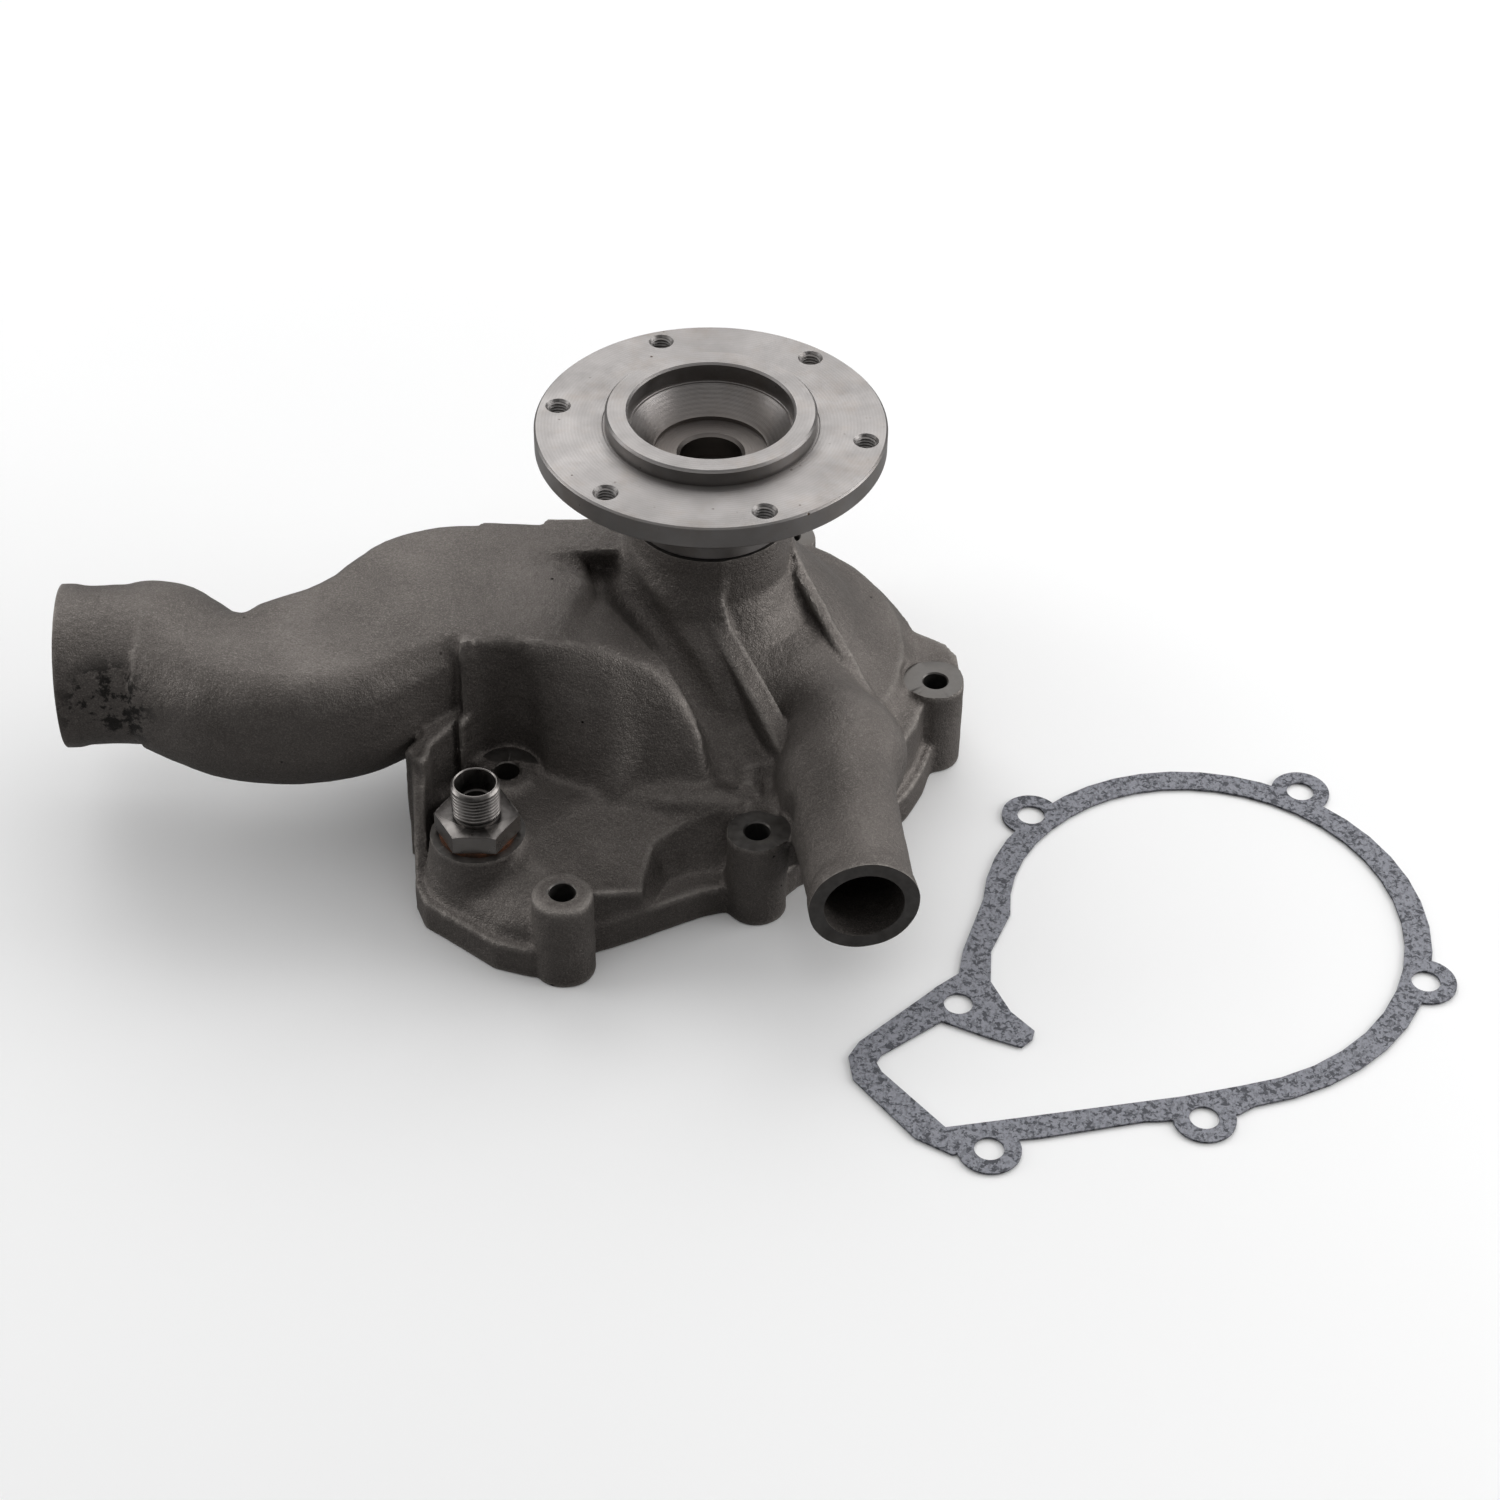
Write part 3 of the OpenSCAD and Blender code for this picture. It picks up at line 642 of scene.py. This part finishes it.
def make_hub():
    """Pulley hub: turned flange, centring ring and coned recess, with six threaded holes."""
    top, ring, under = HUB_Z, HUB_Z + PILOT_H, HUB_Z - HUB_T
    bore, seat = SHAFT_R, SHAFT_TOP
    hub = lathe("pulley_hub", [
        (bore, HUB_LOW), (COLLAR_R - 0.4, HUB_LOW), (COLLAR_R, HUB_LOW + 0.4), (COLLAR_R, under - 3),
        (COLLAR_R + 0.9, under - 0.9), (COLLAR_R + 3, under), (HUB_R - 0.9, under), (HUB_R, under + 0.9),
        (HUB_R, top - 0.7), (HUB_R - 0.7, top), (PILOT_R + 1.1, top), (PILOT_R + 0.8, top - 0.25),
        (PILOT_R, top - 0.25), (PILOT_R, ring - 0.9), (PILOT_R - 0.9, ring), (31.3, ring),
        (30.5, ring - 0.8), (30.5, top - 1.8), (30.3, top - 2), (29.5, top - 2), (29.1, top - 2.5),
        (HUB_RECESS_R + 0.6, HUB_FLOOR + 2), (HUB_RECESS_R, HUB_FLOOR + 1.6), (HUB_RECESS_R, HUB_FLOOR),
        (HUB_BORE_R + 1.2, HUB_FLOOR), (HUB_BORE_R, HUB_FLOOR - 1.2),
        (HUB_BORE_R, seat), (bore, seat)], 256)
    tools = []
    for i in range(6):
        angle = HUB_TURN + i * math.pi / 3
        profile = [(0, under - 2), (4.9, under - 2), (4.9, under),
                   *rows(TAP_R, under + 0.9, top - 0.9, 0.125), (4.7, top), (4.7, top + 2), (0, top + 2)]
        wave = threaded(TAP_R, TAP_DEPTH, TAP_PITCH, under + 0.8, top - 0.8, 0.4)
        tools.append(lathe("tap", profile, 40, wave,
                           at_mm(HUB_HOLES_R * math.cos(angle), HUB_HOLES_R * math.sin(angle), 0)))
    cut(hub, merged("taps", tools))
    smooth(hub, 30)
    return hub


def make_union():
    """Screwed union: hexagon, threaded end with a cone for the pipe, and the stem in the boss."""
    seat = BOSS_H + 1.5
    top = seat + 22.5
    stem = lathe("union", [
        (5, 26), (UNION_THREAD_R - 0.3, 26), (UNION_THREAD_R - 0.3, seat + 8.2),
        (UNION_THREAD_R - 0.3, seat + 8.6),
        (8, seat + 8.9), (8, seat + 9.9), *rows(UNION_THREAD_R, seat + 10.2, top - 1.2, 0.125),
        (UNION_THREAD_R - 0.7, top - 0.3), (UNION_THREAD_R - 1.1, top), (7.7, top), (7.4, top - 0.3),
        (6.0, top - 7.5), (6.0, top - 8.5), (5.1, top - 8.7), (5, top - 9)], 96,
        threaded(UNION_THREAD_R, UNION_DEPTH, UNION_PITCH, seat + 10.1, top - 1.1, 0.8))
    corner = UNION_HEX / 2 / math.cos(math.pi / 6)
    nut = lathe("nut", [(4, seat), (corner, seat), (corner, seat + 7.5), (4, seat + 7.5)], 6)
    dome = lathe("nut_turning", [
        (0, seat - 1), (corner - 0.2, seat - 1), (corner - 0.2, seat), (corner + 0.4, seat + 0.6),
        (corner + 0.4, seat + 6.9), (corner - 0.9, seat + 7.5), (corner - 0.9, seat + 9), (0, seat + 9)], 96)
    cut(nut, dome, "INTERSECT")
    hole = rod("nut_hole", 7.9, seat - 1, seat + 9)
    cut(nut, hole)
    cut(stem, nut, "UNION")
    stem.data.transform(at_mm(*UNION_AT, 0))
    smooth(stem, 32)
    return stem


hub = make_hub()
union = make_union()

# ---------------------------------------------------------------- materials


class Paint:
    """A material with short calls for its nodes."""

    def __init__(self, name, roughness=0.5, metallic=0.0):
        self.material = bpy.data.materials.new(name)
        self.material.use_nodes = True
        self.tree = self.material.node_tree
        self.shader = self.tree.nodes["Principled BSDF"]
        self.shader.inputs["Roughness"].default_value = roughness
        self.shader.inputs["Metallic"].default_value = metallic
        self.place = self.tree.nodes.new("ShaderNodeTexCoord").outputs["Object"]

    def node(self, kind, **values):
        found = self.tree.nodes.new(kind)
        for key, value in values.items():
            setattr(found, key, value)
        return found

    def feed(self, socket, value):
        if isinstance(value, bpy.types.NodeSocket):
            self.tree.links.new(value, socket)
        else:
            socket.default_value = value

    def noise(self, per_metre, detail=2.0, rough=0.5, stretch=None, distortion=0.0):
        n = self.node("ShaderNodeTexNoise")
        self.feed(n.inputs["Vector"], self.stretched(stretch) if stretch else self.place)
        n.inputs["Scale"].default_value = per_metre
        n.inputs["Detail"].default_value = detail
        n.inputs["Roughness"].default_value = rough
        n.inputs["Distortion"].default_value = distortion
        return n.outputs["Fac"]

    def cells(self, per_metre):
        n = self.node("ShaderNodeTexVoronoi", feature="F1")
        self.feed(n.inputs["Vector"], self.place)
        n.inputs["Scale"].default_value = per_metre
        return n.outputs["Distance"]

    def stretched(self, scale):
        n = self.node("ShaderNodeMapping")
        self.feed(n.inputs["Vector"], self.place)
        n.inputs["Scale"].default_value = scale
        return n.outputs["Vector"]

    def rings(self, per_metre, distortion=0.0):
        """Turning marks round the upright axis through the origin."""
        n = self.node("ShaderNodeTexWave", wave_type="RINGS", rings_direction="Z")
        self.feed(n.inputs["Vector"], self.place)
        n.inputs["Scale"].default_value = per_metre
        n.inputs["Distortion"].default_value = distortion
        n.inputs["Detail"].default_value = 1
        return n.outputs["Fac"]

    def step(self, value, low, high, to_low=0.0, to_high=1.0):
        n = self.node("ShaderNodeMapRange")
        self.feed(n.inputs["Value"], value)
        for key, number in (("From Min", low), ("From Max", high), ("To Min", to_low), ("To Max", to_high)):
            n.inputs[key].default_value = number
        return n.outputs["Result"]

    def sum(self, *values, operation="ADD"):
        total = values[0]
        for value in values[1:]:
            n = self.node("ShaderNodeMath", operation=operation)
            self.feed(n.inputs[0], total)
            self.feed(n.inputs[1], value)
            total = n.outputs["Value"]
        return total

    def mix(self, amount, a, b):
        n = self.node("ShaderNodeMix", data_type="RGBA")
        self.feed(n.inputs["Factor"], amount)
        self.feed(n.inputs["A"], (*a, 1) if isinstance(a, tuple) else a)
        self.feed(n.inputs["B"], (*b, 1) if isinstance(b, tuple) else b)
        return n.outputs["Result"]

    def edges(self, low=0.52, high=0.62):
        n = self.node("ShaderNodeNewGeometry")
        return self.step(n.outputs["Pointiness"], low, high)

    def near(self, at, reach, soft):
        """1 within reach millimetres of a point, falling to 0 over soft millimetres."""
        n = self.node("ShaderNodeVectorMath", operation="DISTANCE")
        self.feed(n.inputs[0], self.place)
        n.inputs[1].default_value = Vector(at) * MM
        return self.step(n.outputs["Value"], (reach + soft) * MM, reach * MM)

    def colour(self, value):
        self.feed(self.shader.inputs["Base Color"], value)

    def rough(self, value):
        self.feed(self.shader.inputs["Roughness"], value)

    def bump(self, height, depth_mm, strength=1.0):
        n = self.node("ShaderNodeBump")
        self.feed(n.inputs["Height"], height)
        n.inputs["Distance"].default_value = depth_mm * MM
        n.inputs["Strength"].default_value = strength
        self.feed(self.shader.inputs["Normal"], n.outputs["Normal"])


def cast_iron():
    p = Paint("cast_iron", 0.5, 0.8)
    broad = p.noise(30, 3)
    grain = p.noise(1700, 3, 0.6)
    coarse = p.noise(420, 3, 0.6)
    base = p.mix(p.step(broad, 0.35, 0.7), (0.112, 0.100, 0.092), (0.160, 0.144, 0.133))
    base = p.mix(p.step(grain, 0.50, 0.75, 0, 0.55), base, (0.34, 0.31, 0.285))
    base = p.mix(p.step(grain, 0.44, 0.25, 0, 0.5), base, (0.045, 0.040, 0.037))
    base = p.mix(p.sum(p.edges(0.505, 0.56), 0.5, operation="MULTIPLY"), base, (0.36, 0.335, 0.31))
    pits = p.sum(p.step(p.cells(75), 0.055, 0.035), p.step(p.noise(50), 0.5, 0.56), operation="MULTIPLY")
    base = p.mix(pits, base, (0.012, 0.008, 0.007))
    patches = p.step(p.noise(120, 6, 0.7), 0.50, 0.55)
    stain = p.sum(p.near((-219, -70, 63), 13, 9), patches, operation="MULTIPLY")
    base = p.mix(p.sum(stain, 0.9, operation="MULTIPLY"), base, (0.015, 0.014, 0.013))
    p.colour(base)
    p.rough(p.step(coarse, 0.3, 0.7, 0.46, 0.62))
    height = p.sum(p.sum(grain, 0.6, operation="MULTIPLY"), coarse, p.sum(pits, -0.8, operation="MULTIPLY"))
    p.bump(height, 0.55, 0.9)
    return p.material


def machined_iron():
    p = Paint("machined_iron", 0.45, 0.85)
    grain = p.noise(300, 4, 0.6)
    base = p.mix(p.step(grain, 0.3, 0.7), (0.085, 0.081, 0.077), (0.135, 0.128, 0.122))
    p.colour(p.mix(p.step(p.noise(45, 3), 0.45, 0.7, 0, 0.5), base, (0.075, 0.064, 0.053)))
    p.rough(p.step(grain, 0.3, 0.7, 0.36, 0.52))
    p.bump(p.noise(900, 3), 0.05, 0.5)
    return p.material


def turned_steel(name, light, dark, rings, rough, dirt, depth=0.03):
    """Machined steel with turning marks, a little dirt, painted shade in its creases and down the bore, and
    a painted dark reflection, tinted brown, in the coned recess.
    """
    p = Paint(name, rough, 1.0)
    marks = p.rings(rings, 0.6)
    fine = p.rings(rings * 3.7, 1.0)
    base = p.mix(p.step(p.noise(26, 4, 0.6), 0.35, 0.7), dark, light)
    base = p.mix(p.sum(marks, 0.16, operation="MULTIPLY"), base, tuple(c * 0.7 for c in dark))
    spots = p.sum(p.step(p.cells(190), 0.12, 0.06), p.step(p.noise(70), 0.52, 0.62), operation="MULTIPLY")
    base = p.mix(spots, base, (0.05, 0.03, 0.02))
    clouds = p.step(p.noise(55, 5, 0.7), 0.5, 0.75)
    base = p.mix(p.sum(clouds, dirt, operation="MULTIPLY"), base, (0.20, 0.14, 0.09))
    # Painted dark reflection, tinted brown: the coned recess round the middle of the hub is darkened.
    base = p.mix(p.sum(p.near((0, 0, 137), 20, 14), 0.6, operation="MULTIPLY"), base, (0.13, 0.11, 0.096))
    # Painted shade: darker down the bore round the shaft top.
    base = p.mix(p.sum(p.near((0, 0, 120), 13, 3), 0.4, operation="MULTIPLY"), base, (0.08, 0.072, 0.066))
    # Painted shade: darker in creases and hollow corners (low pointiness).
    base = p.mix(p.edges(0.46, 0.39), base, (0.05, 0.044, 0.04))
    p.colour(base)
    p.rough(p.step(p.noise(120, 3), 0.3, 0.7, rough - 0.05, rough + 0.08))
    p.bump(p.sum(marks, fine, p.sum(spots, -3.0, operation="MULTIPLY")), depth, 0.6)
    return p.material


def plain_metal(name, light, dark, rough, metallic=1.0, grain_per_m=500, depth=0.03):
    """A metal with fine grain, faint clouds, worn edges and painted shade in its creases."""
    p = Paint(name, rough, metallic)
    base = p.mix(p.step(p.noise(90, 4, 0.6), 0.35, 0.7), dark, light)
    bright = tuple(min(1, c * 1.8) for c in light)
    base = p.mix(p.sum(p.edges(0.52, 0.6), 0.6, operation="MULTIPLY"), base, bright)
    # Painted shade: darker in creases and hollow corners (low pointiness).
    p.colour(p.mix(p.edges(0.49, 0.42), base, tuple(c * 0.2 for c in dark)))
    p.rough(p.step(p.noise(grain_per_m, 3), 0.3, 0.7, rough - 0.06, rough + 0.08))
    p.bump(p.noise(grain_per_m * 2, 2), depth, 0.5)
    return p.material


def soft_stuff(name, light, dark, rough, grain_per_m=700, depth=0.05):
    """Rubber, carbon or ceramic: a dull body with a fine grain."""
    p = Paint(name, rough)
    p.colour(p.mix(p.step(p.noise(grain_per_m, 3, 0.6), 0.35, 0.65), dark, light))
    p.rough(p.step(p.noise(grain_per_m / 3, 2), 0.3, 0.7, rough - 0.08, rough + 0.08))
    p.bump(p.noise(grain_per_m * 1.5, 2), depth, 0.5)
    return p.material


def copper_washer():
    p = Paint("washer_copper", 0.5, 0.85)
    base = p.mix(p.step(p.noise(260, 4, 0.6), 0.35, 0.6), (0.23, 0.095, 0.05), (0.10, 0.055, 0.035))
    p.colour(p.mix(p.step(p.noise(120, 3), 0.5, 0.7), base, (0.05, 0.045, 0.04)))
    p.bump(p.noise(900, 3), 0.05, 0.6)
    return p.material


def gasket_paper():
    """Fibre board: blue-grey with dark flecks that run across each other."""
    p = Paint("gasket_fibre", 0.8)
    flecks = p.step(p.noise(520, 4, 0.65, distortion=0.5), 0.51, 0.58)
    second = p.step(p.noise(900, 3, 0.6, stretch=(1, 0.6, 1)), 0.5, 0.6)
    base = p.mix(p.step(p.noise(900, 2), 0.3, 0.7), (0.215, 0.22, 0.25), (0.275, 0.28, 0.31))
    base = p.mix(p.sum(flecks, 0.85, operation="MULTIPLY"), base, (0.030, 0.032, 0.040))
    base = p.mix(p.sum(second, 0.5, operation="MULTIPLY"), base, (0.07, 0.073, 0.085))
    p.colour(base)
    p.bump(p.sum(flecks, p.noise(1600, 2)), 0.06, 0.6)
    return p.material


IRON, MACHINED = cast_iron(), machined_iron()
HUB_STEEL = turned_steel("hub_steel", (0.31, 0.295, 0.288), (0.245, 0.233, 0.227), 260, 0.38, 0.25)
UNION_STEEL = plain_metal("union_steel", (0.21, 0.197, 0.188), (0.125, 0.117, 0.112), 0.33)
FINISHES = {
    "gasket": gasket_paper(),
    "union_washer": copper_washer(),
    "shaft": turned_steel("shaft_steel", (0.5, 0.49, 0.48), (0.36, 0.35, 0.34), 400, 0.32, 0.2),
    "bearing": plain_metal("bearing_steel", (0.62, 0.62, 0.63), (0.52, 0.52, 0.53), 0.2),
    "cage": plain_metal("cage_brass", (0.42, 0.29, 0.12), (0.32, 0.21, 0.09), 0.35),
    "spring": plain_metal("spring_steel", (0.25, 0.25, 0.26), (0.16, 0.16, 0.17), 0.3),
    "slinger": soft_stuff("slinger_rubber", (0.05, 0.05, 0.055), (0.025, 0.025, 0.028), 0.6),
    "brass": plain_metal("seal_brass", (0.55, 0.42, 0.20), (0.40, 0.29, 0.13), 0.33),
    "wire": plain_metal("seal_wire", (0.6, 0.6, 0.61), (0.45, 0.45, 0.46), 0.25),
    "rubber": soft_stuff("seal_rubber", (0.03, 0.03, 0.032), (0.014, 0.014, 0.015), 0.55),
    "carbon": soft_stuff("carbon", (0.045, 0.045, 0.05), (0.02, 0.02, 0.023), 0.35),
    "ceramic": soft_stuff("ceramic", (0.78, 0.75, 0.68), (0.70, 0.67, 0.60), 0.25, 400, 0.02),
    "impeller": plain_metal("impeller_iron", (0.23, 0.215, 0.20), (0.13, 0.12, 0.11), 0.55, 0.6, 320, 0.25),
}
NODE_FINISH = {
    "gasket": "gasket", "union_washer": "union_washer", "shaft": "shaft",
    "front_outer_race": "bearing", "front_inner_race": "bearing", "front_balls": "bearing",
    "front_cage": "cage", "rear_outer_race": "bearing", "rear_inner_race": "bearing",
    "rear_balls": "bearing", "rear_cage": "cage",
    "bearing_spacer": "shaft", "retaining_ring": "spring", "slinger": "slinger", "seal_cup": "brass",
    "seal_spring": "wire", "seal_bellows": "rubber", "carbon_ring": "carbon", "ceramic_seat": "ceramic",
    "seat_boot": "rubber", "impeller": "impeller",
}
for node, finish in NODE_FINISH.items():
    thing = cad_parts[node]
    thing.data.materials.clear()
    thing.data.materials.append(FINISHES[finish])
for thing, finishes in ((housing, (IRON, MACHINED)), (hub, (HUB_STEEL,)), (union, (UNION_STEEL,))):
    thing.data.materials.clear()
    for finish in finishes:
        thing.data.materials.append(finish)
mark_machined(housing.data)
PIECES = ((housing, "body", "housing", "cast_iron"), (hub, "rotor", "hub_flange", "hub_steel"),
          (union, "body", "union_fitting", "union_steel"))
for piece, body, node, slot in PIECES:
    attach(piece, body)
    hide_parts(node)

# ---------------------------------------------------------------- camera, floor and light
camera = bpy.data.cameras.new("camera")
camera.lens, camera.sensor_width = 72, 36
view = bpy.data.objects.new("camera", camera)
bpy.context.scene.collection.objects.link(view)
CAMERA_AT, ELEVATION, ROLL = (16.36, -911.64, 772.71), math.radians(40.755), math.radians(0.995)
back = Vector((0, -math.cos(ELEVATION), math.sin(ELEVATION)))
right = Vector((1, 0, 0))
up = back.cross(right)
turned = Matrix((right * math.cos(ROLL) + up * math.sin(ROLL),
                 up * math.cos(ROLL) - right * math.sin(ROLL), back)).transposed()
view.matrix_world = Matrix.Translation(Vector(CAMERA_AT) * MM) @ turned.to_4x4()
bpy.context.scene.camera = view


def link_light(name, light, at, target=(0, 0, 0.06)):
    lamp = bpy.data.objects.new(name, light)
    lamp.location = at
    lamp.rotation_euler = (Vector(target) - Vector(at)).to_track_quat("-Z", "Y").to_euler()
    bpy.context.scene.collection.objects.link(lamp)


def softbox(name, at, size, power):
    light = bpy.data.lights.new(name, "AREA")
    light.shape, light.size, light.size_y, light.energy = "RECTANGLE", size[0], size[1], power
    link_light(name, light, at)


sky = bpy.data.lights.new("sky", "SUN")
sky.energy, sky.angle = 1.3, math.radians(110)
link_light("sky", sky, (-0.1, 0.35, 1.5))
softbox("back_wall", (0.0, 1.7, 1.45), (3.4, 1.5), 27)
softbox("left_box", (-1.5, 0.1, 0.35), (1.0, 0.7), 9)
softbox("right_box", (1.3, 0.0, 0.4), (1.2, 0.9), 14)
world = bpy.data.worlds.new("studio")
world.use_nodes = True
world.node_tree.nodes["Background"].inputs["Color"].default_value = (1, 1, 1, 1)
world.node_tree.nodes["Background"].inputs["Strength"].default_value = 0.12
bpy.context.scene.world = world
bpy.context.scene.view_settings.view_transform = "Standard"

ground = box("floor", (-3000, -3000, -30), (3000, 3000, -0.5))
floor_paint = Paint("floor_paint", 0.9)
rays = floor_paint.node("ShaderNodeLightPath").outputs["Is Camera Ray"]
pale = floor_paint.mix(floor_paint.noise(3), (0.92, 0.92, 0.92), (0.95, 0.95, 0.95))
floor_paint.colour(floor_paint.mix(rays, (0.29, 0.29, 0.29), pale))
ground.data.materials.append(floor_paint.material)
